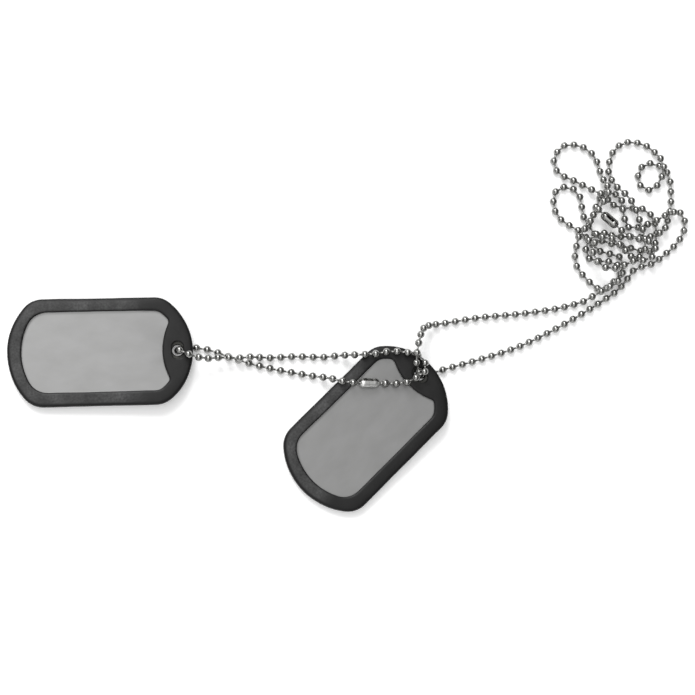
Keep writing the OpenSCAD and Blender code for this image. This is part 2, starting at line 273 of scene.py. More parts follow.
# %% Sizes of a tag
PLATE_LENGTH = 50.8 * MM
PLATE_WIDTH = 28.6 * MM
ROLL = 1.0 * MM
HOLE_RADIUS = 1.6 * MM
HOLE_FROM_END = 3.0 * MM
FIT = 0.1 * MM
WALL = 1.4 * MM
LIP = 0.8 * MM
SIDE_LIP = 4.0 * MM
FAR_LIP = 4.1 * MM
FAR_END_RADIUS = 20.5 * MM
HOLE_END_RADIUS = 18.5 * MM
CORNER_RADIUS = 7 * MM
WINDOW_END_RADIUS = 18.5 * MM
WINDOW_CORNER_RADIUS = 6 * MM
WEB_RADIUS = 18 * MM
WEB_REACH = 4.5 * MM
EYELET_LENGTH = 5.2 * MM
EYELET_WIDTH = 3.4 * MM
RUBBER_LENGTH = PLATE_LENGTH + 2 * (WALL + FIT)
RUBBER_WIDTH = PLATE_WIDTH + 2 * (WALL + FIT)
GROOVE = ROLL + 2 * FIT
RUBBER_THICK = GROOVE + 2 * LIP
HOLE_X = PLATE_LENGTH / 2 - HOLE_FROM_END
print("rubber:", *[round(size / MM, 1) for size in (RUBBER_LENGTH, RUBBER_WIDTH, RUBBER_THICK)], "mm")

# %% Outline of a tag
END_POINTS, CORNER_POINTS, SIDE_POINTS = 36, 14, 24


def arc(x, y, radius, start, end, steps):
    """Points on an arc, in degrees, without its last one."""
    turns = np.radians(np.linspace(start, end, steps, endpoint=False))
    return np.column_stack([x + radius * np.cos(turns), y + radius * np.sin(turns)])


def line(start, end, steps):
    shares = np.linspace(0, 1, steps, endpoint=False)[:, None]
    return np.array(start) + shares * (np.array(end) - np.array(start))


def tag_outline(far, near, half, far_radius, near_radius, far_corner, near_corner):
    """The closed outline, from the arc at the hole's end round the left side.

    far and near are its reaches along X, away from the hole and towards it.
    """
    near_middle, far_middle = near - near_radius, far_radius - far
    near_x = near_middle + math.sqrt((near_radius - near_corner) ** 2 - (half - near_corner) ** 2)
    far_x = far_middle - math.sqrt((far_radius - far_corner) ** 2 - (half - far_corner) ** 2)
    near_turn = math.degrees(math.atan2(half - near_corner, near_x - near_middle))
    far_turn = math.degrees(math.atan2(half - far_corner, far_middle - far_x))
    return np.concatenate([
        arc(near_middle, 0, near_radius, -near_turn, near_turn, END_POINTS),
        arc(near_x, half - near_corner, near_corner, near_turn, 90, CORNER_POINTS),
        line((near_x, half), (far_x, half), SIDE_POINTS),
        arc(far_x, half - far_corner, far_corner, 90, 180 - far_turn, CORNER_POINTS),
        arc(far_middle, 0, far_radius, 180 - far_turn, 180 + far_turn, END_POINTS),
        arc(far_x, far_corner - half, far_corner, 180 + far_turn, 270, CORNER_POINTS),
        line((far_x, -half), (near_x, -half), SIDE_POINTS),
        arc(near_x, near_corner - half, near_corner, 270, 360 - near_turn, CORNER_POINTS),
    ])


def rubber_outline(inset):
    reach, corner = RUBBER_LENGTH / 2 - inset, CORNER_RADIUS - inset
    return tag_outline(reach, reach, RUBBER_WIDTH / 2 - inset,
                       FAR_END_RADIUS - inset, HOLE_END_RADIUS - inset, corner, corner)


print("an outline has", len(rubber_outline(0)), "points")

# %% [markdown]
# A loop of points can be moved outwards by an offset, spread evenly, softened, or made to wander like a
# hand-trimmed edge. A few such tools on plain arrays do what many boolean cuts would, and they keep the
# points in order.


# %% Tools for loops
def outwards(loop):
    """A direction out of a closed loop at each point, longer at corners, so an offset keeps its width."""
    before, after = loop - np.roll(loop, 1, 0), np.roll(loop, -1, 0) - loop
    before /= np.linalg.norm(before, axis=1)[:, None]
    after /= np.linalg.norm(after, axis=1)[:, None]
    middle = before + after
    middle /= np.linalg.norm(middle, axis=1)[:, None]
    stretch = np.clip((middle * after).sum(1), 0.5, 1)
    return np.column_stack([middle[:, 1], -middle[:, 0]]) / stretch[:, None]


def evenly(loop, count):
    """The same closed loop with evenly spaced points."""
    closed = np.vstack([loop, loop[:1]])
    along = np.concatenate([[0], np.cumsum(np.linalg.norm(np.diff(closed, axis=0), axis=1))])
    at = np.linspace(0, along[-1], count, endpoint=False)
    return np.column_stack([np.interp(at, along, closed[:, k]) for k in (0, 1)])


def softened(loop, passes):
    for _ in range(passes):
        loop = (np.roll(loop, 1, 0) + 2 * loop + np.roll(loop, -1, 0)) / 4
    return loop


def wandering(loop, amount, length, seed):
    """The loop moved in and out by a smooth noise, as a hand-trimmed edge is."""
    push = [noise.noise(Vector((x / length, y / length, seed))) for x, y in loop]
    return loop + outwards(loop) * (amount * np.array(push))[:, None]


# %% [markdown]
# The window starts as a tag's outline. The web is a disc taken from it at the hole's end: the points inside
# the disc go, and an arc of the disc takes their place. The sharp corners where both meet are softened, as
# the mould is.

# %% Window
WINDOW_POINTS = 300
WEB_POINTS = 60
SOFTENING = 6


def window_outline():
    """The opening over the plate: a tag outline, less the disc of the web."""
    far, near, half = RUBBER_LENGTH / 2 - FAR_LIP, RUBBER_LENGTH / 2 - SIDE_LIP, RUBBER_WIDTH / 2 - SIDE_LIP
    loop = tag_outline(far, near, half, WINDOW_END_RADIUS, HOLE_END_RADIUS - SIDE_LIP,
                       WINDOW_CORNER_RADIUS, CORNER_RADIUS - SIDE_LIP)
    loop = evenly(loop, 3 * WINDOW_POINTS)
    middle = HOLE_X - WEB_REACH + WEB_RADIUS
    away = np.hypot(loop[:, 0] - middle, loop[:, 1])
    kept = away > WEB_RADIUS
    start = int(np.flatnonzero(kept & ~np.roll(kept, 1))[0])
    open_part = np.roll(loop, -start, 0)[: kept.sum()]
    turn = math.degrees(math.asin(open_part[0, 1] / WEB_RADIUS))
    web = arc(middle, 0, WEB_RADIUS, 180 + turn, 180 - turn, WEB_POINTS)
    return softened(evenly(np.vstack([web, open_part]), WINDOW_POINTS), SOFTENING)


print("window:", *[round(size / MM, 1) for size in np.ptp(window_outline(), axis=0)], "mm")

# %% [markdown]
# ## From loops to solids
#
# A moulded or pressed piece with a flat face and rounded edges is made of rings: each ring is one of the
# loops above, moved in or out by a small offset and set at a height. Neighbouring rings are bridged with
# quads, and the flat face that is left between the outer ring, the window and the hole is filled with
# triangles. That keeps every edge round where the real one is, which a cut with a knife-sharp boolean would
# not. The triangles come from Blender's own Delaunay function, because it makes no slivers, and slivers would
# show as scratches in the smooth shading.


# %% Rings, bridges and fills
def encloses(border, point):
    """Whether a ring goes round a point: an odd number of its edges lie to the point's right."""
    crossed = 0
    for a, b in zip(border, border[1:] + border[:1]):
        if (a.co.y > point.y) != (b.co.y > point.y):
            crossed += a.co.x + (point.y - a.co.y) / (b.co.y - a.co.y) * (b.co.x - a.co.x) > point.x
    return crossed % 2 == 1


class Solid:
    """A closed mesh built up from rings."""

    def __init__(self):
        self.mesh = bmesh.new()

    def ring(self, loop, height):
        return [self.mesh.verts.new((x, y, height)) for x, y in loop]

    def bridge(self, first, second):
        for k in range(len(first)):
            m = (k + 1) % len(first)
            self.mesh.faces.new((first[k], first[m], second[m], second[k]))

    def rings(self, loop, profile):
        """Rings for each (offset, height) of a profile, bridged in turn; returns the first and the last."""
        way = outwards(loop)
        made = [self.ring(loop + way * offset, height) for offset, height in profile]
        for first, second in zip(made, made[1:]):
            self.bridge(first, second)
        return made[0], made[-1]

    def fill(self, *borders):
        """The flat face between an outer ring and the rings of its holes, in well-shaped triangles."""
        corners = [corner for border in borders for corner in border]
        edges = []
        for border in borders:
            start = len(edges)
            edges += [(start + k, start + (k + 1) % len(border)) for k in range(len(border))]
        found = delaunay_2d_cdt([corner.co.xy for corner in corners], edges, [], 0, 1e-9)
        back = [olds[0] for olds in found[3]]
        for face in found[2]:
            trio = [corners[back[k]] for k in face]
            middle = sum((corner.co for corner in trio), Vector()) / 3
            if encloses(borders[0], middle) and not any(encloses(border, middle) for border in borders[1:]):
                self.mesh.faces.new(trio)

    def to_object(self, name, material, sharp_degrees):
        """The mesh as an object, shaded smooth except at edges that turn by more than sharp_degrees."""
        bmesh.ops.recalc_face_normals(self.mesh, faces=self.mesh.faces)
        for face in self.mesh.faces:
            face.smooth = True
        for edge in self.mesh.edges:
            edge.smooth = edge.calc_face_angle(0) < math.radians(sharp_degrees)
        data = bpy.data.meshes.new(name)
        self.mesh.to_mesh(data)
        self.mesh.free()
        data.materials.append(material)
        piece = bpy.data.objects.new(name, data)
        bpy.context.scene.collection.objects.link(piece)
        return piece


# %% [markdown]
# A finished piece is handed to the frame: it rides on the construction model and stands for the plain solid
# of the same size. The other three helpers give a profile its mirror image for the underside, and the
# outlines of the two holes at the tag's end.

# %% Handing over and small outlines
TAG_SHARP = 60
HOLE_POINTS = 40
ROUND_POINTS = 18
EYELET_POINTS = 48


def dress(piece, slot, *nodes):
    """Hands a piece to the frame: what it rides on, and the plain solids that it stands for; its finish,
    slot, is not used.
    """
    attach(piece, "root")
    if nodes:
        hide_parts(*nodes)
    print(piece.name, "has", len(piece.data.polygons), "faces")


def mirrored(profile):
    return [(offset, -height) for offset, height in reversed(profile)]


def circle(radius):
    return arc(HOLE_X, 0, radius, 0, 360, HOLE_POINTS)


def oval(length, width):
    """The eyelet's outline: two round ends across the tag and the straight part between them."""
    straight = (length - width) / 2
    return evenly(np.concatenate([
        arc(HOLE_X, straight, width / 2, 0, 180, ROUND_POINTS), [(HOLE_X - width / 2, straight)],
        arc(HOLE_X, -straight, width / 2, 180, 360, ROUND_POINTS), [(HOLE_X + width / 2, -straight)],
    ]), EYELET_POINTS)


print("eyelet:", *[round(size / MM, 1) for size in np.ptp(oval(EYELET_LENGTH, EYELET_WIDTH), axis=0)], "mm")

# %% [markdown]
# ## Where a tag lies
#
# A strand of chain runs under each tag at its hole, so that end is raised and the far end rests on the
# surface. The tilt follows from the ball's diameter and the tag's length, as in the construction model. Each
# tag is an object with its own place and turn, so its material can follow the tag's own length.

# %% Places of the tags
LEFT_TAG = {"x": -77.5 * MM, "y": -12.5 * MM, "turn": 2}
RIGHT_TAG = {"x": 1.5 * MM, "y": -33.5 * MM, "turn": 45}
BALL = 2.3 * MM
PLAY = 0.1 * MM
EDGE_RADIUS = 0.9 * MM
TILT = math.asin((BALL + 2 * PLAY) / (HOLE_X + RUBBER_LENGTH / 2 - EDGE_RADIUS))
LIFT = ((RUBBER_LENGTH / 2 - EDGE_RADIUS) * math.sin(TILT)
        + (RUBBER_THICK / 2 - EDGE_RADIUS) * math.cos(TILT) + EDGE_RADIUS)


def lay(piece, tag):
    turn = Matrix.Rotation(math.radians(tag["turn"]), 4, "Z") @ Matrix.Rotation(-TILT, 4, "Y")
    piece.matrix_world = Matrix.Translation((tag["x"], tag["y"], LIFT)) @ turn


print("tags tilt by", round(math.degrees(TILT), 2), "degrees, middles", round(LIFT / MM, 2), "mm up")

# %% [markdown]
# ## Steel plates
#
# Each plate is stainless steel sheet, blanked out, with its edge rolled into a thick bead so that it cuts
# nobody, and then tumbled with ceramic chips. Tumbling leaves a satin skin: it gives back light and dark but
# no image, with faint cloudiness that runs along the sheet, and the thin sheet is never quite flat. Round the
# hole, down in the eyelet's recess, the steel is painted dark as the shade of the rubber lip. Its scratches
# are too fine to show here, so the roughness stands for them.

# %% Tumbled stainless steel
CLOUD = 5 * MM
CLOUD_STRETCH = 2
UNFLATNESS = 12 * MM
HOLE_SHADE = (2.4 * MM, 3.4 * MM)


def tumbled_stainless_steel():
    material, tree = new_material("tumbled_stainless_steel")
    place = add(tree, "ShaderNodeTexCoord").outputs["Object"]
    drawn = add(tree, "ShaderNodeMapping", sockets={"Vector": place, "Scale": (1 / CLOUD_STRETCH, 1, 1)})
    cloud = add(tree, "ShaderNodeTexNoise", sockets={"Vector": drawn, "Scale": per(CLOUD), "Detail": 3.0})
    flatness = add(tree, "ShaderNodeTexNoise",
                   sockets={"Vector": place, "Scale": per(UNFLATNESS), "Detail": 0.0})
    colour = add(tree, "ShaderNodeMix", COLOUR_MIX,
                 {"Factor": cloud, "A": linear("#7D7D7C"), "B": linear("#909090")})
    # Painted shade: the steel turns dark towards the hole, where the rubber lip shades the eyelet's recess.
    from_hole = add(tree, "ShaderNodeVectorMath", {"operation": "DISTANCE"}, {0: place, 1: (HOLE_X, 0, 0)})
    hole_shade = add(tree, "ShaderNodeMapRange", SMOOTH, {
        "Value": from_hole.outputs["Value"], "From Min": HOLE_SHADE[1], "From Max": HOLE_SHADE[0],
        "To Min": 0.0, "To Max": 1.0})
    shaded_steel = add(tree, "ShaderNodeMix", COLOUR_MIX,
                 {"Factor": hole_shade, "A": colour, "B": linear("#3C3C3A")})
    roughness = add(tree, "ShaderNodeMapRange", sockets={
        "Value": cloud, "From Min": 0.2, "From Max": 0.8, "To Min": 0.36, "To Max": 0.42})
    wave = add(tree, "ShaderNodeBump", sockets={"Height": flatness, "Distance": 0.05 * MM, "Strength": 1.0})
    return finish_material(material, add(tree, "ShaderNodeBsdfPrincipled", sockets={
        "Base Color": shaded_steel, "Metallic": 1.0, "Roughness": roughness, "Normal": wave}))


steel = tumbled_stainless_steel()

# %% [markdown]
# The plate's section starts where the flat sheet begins to rise, goes over the bead and ends at its outermost
# line, and the underside is its mirror image. The rise is as wide as the bead's press left it along the
# sides, and gets narrower towards the hole, which needs flat sheet round it. The hole's edge is dished,
# because it was punched.

# %% Plate
RISE = 3.1 * MM
RISE_AT = [10 * MM, 19 * MM, 24 * MM]
RISE_SHARES = [1.0, 0.64, 0.3]
# Each pair: share of the rise's width in from the outermost line, and height in mm
PLATE_PROFILE = [(1.0, 0.25), (0.88, 0.255), (0.74, 0.3), (0.6, 0.38), (0.46, 0.46), (0.34, 0.5), (0.22, 0.5),
                 (0.12, 0.43), (0.04, 0.26), (0, 0)]
# Each pair: distance out from the hole's narrowest line and height, both in mm
HOLE_EDGE = [(0.4, 0.25), (0.3, 0.24), (0.2, 0.21), (0.1, 0.14), (0.03, 0.06), (0, 0)]


def make_plate(name, tag, node):
    solid = Solid()
    loop = rubber_outline(WALL + FIT)
    way = outwards(loop)
    rise = RISE * np.interp(loop[:, 0], RISE_AT, RISE_SHARES)[:, None]
    sides = [(share, height * MM) for share, height in PLATE_PROFILE + mirrored(PLATE_PROFILE)[1:]]
    made = [solid.ring(loop - way * rise * share, height) for share, height in sides]
    for first, second in zip(made, made[1:]):
        solid.bridge(first, second)
    hole_edge = [(offset * MM, height * MM) for offset, height in HOLE_EDGE + mirrored(HOLE_EDGE)[1:]]
    top, bottom = solid.rings(circle(HOLE_RADIUS), hole_edge)
    solid.fill(made[0], top)
    solid.fill(made[-1], bottom)
    piece = solid.to_object(name, steel, TAG_SHARP)
    lay(piece, tag)
    dress(piece, "steel_plate", node)


make_plate("left_tag_plate", LEFT_TAG, "left_plate")
make_plate("right_tag_plate", RIGHT_TAG, "right_plate")

# %% [markdown]
# ## Rubber silencers
#
# A silencer is one moulding of black silicone rubber, stretched over the plate like a tyre over a rim. It is
# made of two lips joined by a wall, with the plate's groove between them, a window on both faces, and an
# eyelet through the web. Silicone is smooth and only half matt: it has a soft grey sheen in the light and
# holds dust. The dust lies in patches and specks on the crest of the rims, so their rounded edges stay clean
# and darker. It is rubbed off the web, where the chain moves. On the side of the whole set that points to the
# lower right, away from the lamp, it is left off as painted shade. So dust and painted shade are one number,
# the product of those five shares.

# %% Black silicone rubber
DUST_PATCH = 5 * MM
DUST_SPECK = 0.7 * MM
DUSTY_END = (16 * MM, 4 * MM)
CREST = (0.16 * MM, 0.06 * MM)
LOWER_RIGHT = (0.71, -0.71, 0)
SHADED_SIDE_BAND = (34 * MM, 27 * MM)


def black_silicone_rubber():
    material, tree = new_material("black_silicone_rubber")
    place = add(tree, "ShaderNodeTexCoord").outputs["Object"]
    tag = add(tree, "ShaderNodeSeparateXYZ", sockets={"Vector": place})
    worn_end = add(tree, "ShaderNodeMapRange", SMOOTH,
                   {"Value": tag.outputs["X"], "From Min": DUSTY_END[0], "From Max": DUSTY_END[1],
                    "To Min": 0.15, "To Max": 1.0})
    height = add(tree, "ShaderNodeMath", {"operation": "ABSOLUTE"}, {0: tag.outputs["Z"]})
    crest = add(tree, "ShaderNodeMapRange", SMOOTH, {
        "Value": height, "From Min": RUBBER_THICK / 2 - CREST[0], "From Max": RUBBER_THICK / 2 - CREST[1],
        "To Min": 0.0, "To Max": 1.0})
    patch = add(tree, "ShaderNodeTexNoise",
                sockets={"Vector": place, "Scale": per(DUST_PATCH), "Detail": 4.0})
    speck = add(tree, "ShaderNodeTexNoise",
                sockets={"Vector": place, "Scale": per(DUST_SPECK), "Detail": 2.0})
    towards_corner = add(tree, "ShaderNodeVectorMath", {"operation": "DOT_PRODUCT"},
                     {0: add(tree, "ShaderNodeNewGeometry"), 1: LOWER_RIGHT}).outputs["Value"]
    # Painted shade: towards the lower right of the whole set, away from the lamp, the dust is left off so the
    # rims there read darker.
    away_side_shade = add(tree, "ShaderNodeMapRange", SMOOTH, {
        "Value": towards_corner, "From Min": SHADED_SIDE_BAND[0], "From Max": SHADED_SIDE_BAND[1],
        "To Min": 0.1, "To Max": 1.0})
    dust_and_painted_shade = add(tree, "ShaderNodeMapRange",
               sockets={"Value": patch, "From Min": 0.2, "From Max": 0.85, "To Min": 0.1, "To Max": 0.9})
    for share in (speck, worn_end, crest, away_side_shade):
        dust_and_painted_shade = add(tree, "ShaderNodeMath", {"operation": "MULTIPLY"}, {0: dust_and_painted_shade, 1: share})
    colour = add(tree, "ShaderNodeMix", COLOUR_MIX,
                 {"Factor": dust_and_painted_shade, "A": linear("#080808"), "B": linear("#6C6C6C")})
    roughness = add(tree, "ShaderNodeMapRange", sockets={
        "Value": speck, "From Min": 0.3, "From Max": 0.7, "To Min": 0.42, "To Max": 0.56})
    swell = add(tree, "ShaderNodeBump", sockets={"Height": patch, "Distance": 0.05 * MM, "Strength": 1.0})
    skin = add(tree, "ShaderNodeBump",
               sockets={"Height": speck, "Distance": 0.012 * MM, "Strength": 1.0, "Normal": swell})
    return finish_material(material, add(tree, "ShaderNodeBsdfPrincipled", sockets={
        "Base Color": colour, "Roughness": roughness, "IOR": 1.35, "Normal": skin}))


rubber = black_silicone_rubber()

# %% [markdown]
# Two profiles make the moulding. One goes from the crest of the rim outwards and down round the outside. The
# other dips from the crest to a lip's rounded edge and goes in under the lip, for the window and for the
# eyelet alike.

# %% Profiles of the rubber
CROWN_REACH = 2.2 * MM
CROWN_FALL = 0.1 * MM
UNDER_CHAMFER = 0.1 * MM
WINDOW_LIP = {"reach": 0.7 * MM, "turn": 0.3 * MM, "dip": 0.12 * MM}
EYELET_LIP = {"reach": 0.4 * MM, "turn": 0.2 * MM, "dip": 0.05 * MM}


def lip_profile(top, under, reach, turn, dip):
    """From the crest down to a lip's edge, round it, and in under the lip; offsets are into the rubber."""
    small = UNDER_CHAMFER
    fall = [(turn + (reach - turn) * share, top - dip * (1 - share) ** 2) for share in (1, 0.75, 0.5, 0.25)]
    quarter = [math.radians(a) for a in (0, 25, 50, 70, 90)]
    round_part = [(turn * (1 - math.sin(a)), top - dip - turn * (1 - math.cos(a))) for a in quarter]
    return fall + round_part + [(0, under + small), (small * 0.3, under + small * 0.3), (small, under)]


def edge_profile(top):
    """Half of the outside: from the crest over the plate's bead down the sloping rim, and round the edge."""
    core, rise = top - EDGE_RADIUS, EDGE_RADIUS - CROWN_FALL
    slope = [(-CROWN_REACH + share * (CROWN_REACH - EDGE_RADIUS), top - CROWN_FALL * share ** 1.5)
             for share in (0, 0.3, 0.6, 0.85)]
    turns = [math.radians(a) for a in range(75, -1, -15)]
    round_part = [(-EDGE_RADIUS * (1 - math.cos(a)), core + rise * math.sin(a)) for a in turns]
    return slope + round_part


print("outside profile:", len(edge_profile(RUBBER_THICK / 2)), "rings in each half")

# %% Silencer
OUTSIDE_WANDER = (0.12 * MM, 9 * MM)
WINDOW_WANDER = (0.1 * MM, 8 * MM)


def make_silencer(name, tag, node, seed, aside):
    """The rubber of a tag; its window sits aside of the middle, because rubber creeps on its plate."""
    solid = Solid()
    top, under = RUBBER_THICK / 2, GROOVE / 2
    half = edge_profile(top)
    outer = wandering(rubber_outline(0), *OUTSIDE_WANDER, seed)
    outer_top, outer_bottom = solid.rings(outer, half + mirrored(half))
    groove_top, groove_bottom = solid.rings(rubber_outline(WALL), [(0, under), (0, -under)])
    window = wandering(window_outline(), *WINDOW_WANDER, seed + 5) + np.array([0, aside])
    eyelet = oval(EYELET_LENGTH, EYELET_WIDTH)
    for side, outer_ring, groove_ring in ((1, outer_top, groove_top), (-1, outer_bottom, groove_bottom)):
        borders = []
        for loop, lip in ((window, WINDOW_LIP), (eyelet, EYELET_LIP)):
            profile = [(offset, side * height) for offset, height in lip_profile(top, under, **lip)]
            borders.append(solid.rings(loop, profile))
        solid.fill(outer_ring, *[first for first, last in borders])
        solid.fill(groove_ring, *[last for first, last in borders])
    piece = solid.to_object(name, rubber, TAG_SHARP)
    lay(piece, tag)
    dress(piece, "silencer_rubber", node)


make_silencer("left_tag_rubber", LEFT_TAG, "left_silencer", 1, 0.1 * MM)
make_silencer("right_tag_rubber", RIGHT_TAG, "right_silencer", 2, 0.25 * MM)

# %% [markdown]
# ## How the chains lie
#
# A ball chain lies in loose curves. Its route is a short list of points, the same as in the
# construction model: x and y in millimetres, and the height of the chain above one that lies on the surface.
# A smooth curve goes through them, and each chain closes in its snap connector. The short chain goes through
# the first tag's hole and round the long chain; the long chain goes through the second tag's hole and piles
# up at the upper right.

# %% Route points
SNAP_LENGTH = 6.4 * MM
SHORT_SNAP = {"middle": (1.7, -20.5, 4.6), "way": (6.4, 0, -0.6), "turn": -35}
LONG_SNAP = {"middle": (77.5, 31.5, 2.95), "way": (5, -4, -0.1), "turn": 0}
HOLE_HEIGHT = (LIFT + HOLE_X * math.sin(TILT) - BALL / 2) / MM


def mouth(snap, side):
    way = Vector(snap["way"]).normalized()
    return tuple(Vector(snap["middle"]) + side * SNAP_LENGTH / MM / 2 * way)


def hole_at(tag, dx, dy, above):
    reach = HOLE_X * math.cos(TILT)
    turn = math.radians(tag["turn"])
    return ((tag["x"] + reach * math.cos(turn)) / MM + dx, (tag["y"] + reach * math.sin(turn)) / MM + dy,
            HOLE_HEIGHT + above)


SHORT_ROUTE = [
    mouth(SHORT_SNAP, 1), (8, -20.5, 4.3), (11, -20.5, 4.9), (13.5, -20, 6), (16, -18.5, 7.8),
    (18.4, -16.5, 7.3), (18.1, -14, 6.1), (15.8, -11.8, 5.5), (12, -11.2, 5.6), (8.5, -11, 5.6),
    (5, -11.5, 5.4), (2.5, -12, 5.3), (-1, -12, 4.5), (-4, -12, 2.5), (-7, -12, 0.6), (-10.5, -12.5, 0),
    (-20, -12.5, 0), (-27, -13, 0), (-30, -13, 0.4), (-33, -13, 1.6), (-36, -13.5, 2.4),
    (-39.5, -13.5, 2.6), (-42.5, -13.5, 2.8), (-45.5, -14, 3.8), (-48.5, -14, 5.3), (-51, -13.5, 5.8),
    (-53.5, -12.5, 5.7), hole_at(LEFT_TAG, 0.3, 0, 1.7), hole_at(LEFT_TAG, 0, 0, 0),
    hole_at(LEFT_TAG, 0.3, 0.2, -1.7), (-53.5, -11, 0), (-51, -10.5, 0), (-46, -11, 0), (-39.5, -13, 0),
    (-33, -15, 0), (-26, -16.5, 0), (-16.5, -18, 0), (-13, -18.5, 0.5), (-10, -19, 2.4), (-7, -20, 4.4),
    (-4, -20.5, 5.2), mouth(SHORT_SNAP, -1),
]
PILE_OUT = [
    # From the connector through the middle of the pile and up to the top loop
    mouth(LONG_SNAP, 1), (81, 28.7, 2.9), (82.6, 27, 3.6), (84.8, 25.6, 4.8), (88, 25.3, 5.1),
    (91, 23.6, 5.1), (91, 20.6, 5.1), (87.6, 18.8, 5.1), (83.6, 18.4, 5.1), (80, 16.6, 5.1), (76, 16, 5.1),
    (72.6, 18, 5.1), (71.2, 21.4, 5.1), (72.6, 24.8, 5.1), (76, 25.8, 5.1), (79.4, 24, 4.9),
    (82.4, 22, 3.2), (84.6, 20.6, 1.6), (86.5, 20, 1), (88.5, 21.5, 2.2), (89, 24, 2.6), (88.5, 28, 2.6),
    (87, 32.5, 2.6), (85.5, 36.5, 2.8), (83, 39.5, 3.5), (81, 41, 3), (79.5, 43.5, 1.8), (78.5, 46, 0.3),
    (78.5, 49, 0), (79.5, 53, 0), (83, 56.5, 0), (87.5, 57, 0), (92, 55.5, 0), (94, 53.5, 0.2),
    # The curl inside the top loop, which is crossed by its own start
    (95, 51.5, 1.9), (95.5, 49.5, 2.5), (95.5, 47.5, 2.2), (95, 45.5, 1), (94, 43.5, 0.1), (91.5, 42, 0),
    (88.5, 43.5, 0), (88, 47, 0), (90, 50, 0), (93, 50.5, 0), (95.5, 49.5, 0), (98, 47, 0), (98.5, 43, 0),
    (98.5, 38, 0), (98, 35, 0), (97, 32, 0.4), (96, 30, 1.6),
    # Back through the middle, round the inner bend and out towards the tags
    (94.5, 28.5, 2.5), (92.5, 27.5, 2.4), (91, 27, 1), (89.5, 27, 0.1), (83, 27, 0), (80, 27, 0),
    (77, 27.5, 1.2), (74.5, 27.5, 2.5), (72.5, 26.5, 2.5), (70.5, 24.5, 2.2), (70.5, 22, 0.5),
    (72, 19.5, 0), (77.5, 19, 0), (79.5, 18.5, 0.7), (81, 16.5, 2.3), (81.5, 14.5, 2.5), (80, 12.5, 2.4),
    (75, 9.5, 2.4), (72.5, 8, 1.2),
]
RUN = [
    # The upper strand, down through the hole of the tag, and the lower strand back
    (70, 6.5, 0), (61.5, 4, 0), (49.5, 2, 0), (36.5, 0.5, 0), (25.5, -1.5, 0), (22.5, -2, 0.8),
    (20.5, -2.5, 2.2), (18.5, -3.5, 4.2), (17, -6, 6.4), (16, -9, 7.8), (15.5, -11.5, 8.1),
    (15.4, -13.7, 7.5), (15.8, -15.5, 6.3), hole_at(RIGHT_TAG, -0.6, 0.7, 2.4), hole_at(RIGHT_TAG, 0, 0, 0),
    hole_at(RIGHT_TAG, 0.4, 0.2, -1.8), (19.5, -17.5, 0), (24, -16, 0), (36, -12.5, 0), (48, -8.5, 0),
    (59.5, -3, 0), (70, 3, 0),
]
PILE_BACK = [
    # The right-hand loop, and its strand across the pile and round the inner loop
    (75.5, 6.5, 0), (80.5, 10, 0), (84.5, 14.5, 0), (86.5, 17, 0), (91.5, 18.5, 0), (96.5, 22, 0),
    (101, 26.5, 0), (103, 31, 0), (102.5, 33.5, 0.2), (101, 35, 1.1), (99.5, 35, 2.3), (97.5, 34.5, 2.5),
    (94.5, 33, 2.5), (92, 31.5, 2.3), (90.5, 31, 1), (89, 30.5, 0.1), (87, 30, 0), (84.5, 30, 0),
    (83, 32, 1.2), (82, 34.5, 2.3), (82, 36, 2.5), (82, 37.5, 2.2), (81.5, 39, 0.7), (79.5, 41, 0),
    (77.5, 41, 0), (75.5, 39, 0), (73.5, 34.5, 0.1), (72.5, 32.5, 1.7), (71, 30.5, 2.6), (69.5, 28.5, 2.6),
    (68, 26.5, 2), (67.5, 24.5, 0.6), (67.5, 22, 0), (67, 19.5, 0), (68, 16.5, 0), (71.5, 12.5, 0),
    (75.5, 10, 0), (78, 11.5, 0), (81, 14.5, 0), (82.5, 17, 0), (82.5, 19.5, 0), (80.5, 21, 0),
    (75.5, 22, 0),
    # The left-hand middle loop
    (73, 24, 0), (69, 28, 0), (64.5, 30.5, 0), (62, 32.5, 0), (60.5, 36, 0), (61, 40, 0), (62.5, 41.5, 0),
    (65, 42, 0), (67.5, 41, 0), (69, 39, 0), (69.5, 36, 0), (70, 33, 0), (71, 31, 0), (74.5, 26.5, 0),
    (77, 25, 0),
    # Across the pile to the right, back along its upper side and round the top left-hand loop
    (80.5, 24.5, 0), (85, 23.5, 0), (89, 22.5, 0), (91, 22.5, 0), (92.5, 24, 0), (93.5, 27, 0), (93, 32, 0),
    (91.5, 34.5, 0), (89, 36, 0), (83, 36, 0), (80.5, 36.5, 0), (78.5, 37.5, 0.8), (77, 38.5, 2.1),
    (75.5, 39.5, 2.5), (73, 41, 1.2), (70.5, 42.5, 0.2), (67.5, 44, 0), (65, 45, 0), (62.5, 46, 0),
    (61, 48.5, 0), (61, 51.5, 0), (64, 55, 0), (67, 55.5, 0), (70, 55, 0), (74, 52, 0), (75, 49, 0),
    (76, 46, 0.2), (76.5, 43.5, 1.8), (77, 41.5, 3.8), (76.5, 39.5, 5), (75.4, 37.2, 4.6), (74, 35.8, 3.7),
    (74, 34.3, 3.1), mouth(LONG_SNAP, -1),
]
LONG_ROUTE = PILE_OUT + RUN + PILE_BACK
print("route points:", len(SHORT_ROUTE), "and", len(LONG_ROUTE))

# %% [markdown]
# ## Balls along a route
#
# The curve between two points is a cubic whose end directions follow the neighbouring points. It is walked in
# short steps and measured, and the balls are then spaced evenly from the end ball on one side of the
# connector, round the whole loop, to the end ball on its other side.

# %% Curve and spacing
SNAP_SHEET = 0.2 * MM
SNAP_RADIUS = BALL / 2 + PLAY + SNAP_SHEET
END_BALL = SNAP_LENGTH / 2 - SNAP_RADIUS
STEPS_BETWEEN = 24


def in_metres(point):
    return np.array([point[0] * MM, point[1] * MM, point[2] * MM + BALL / 2])


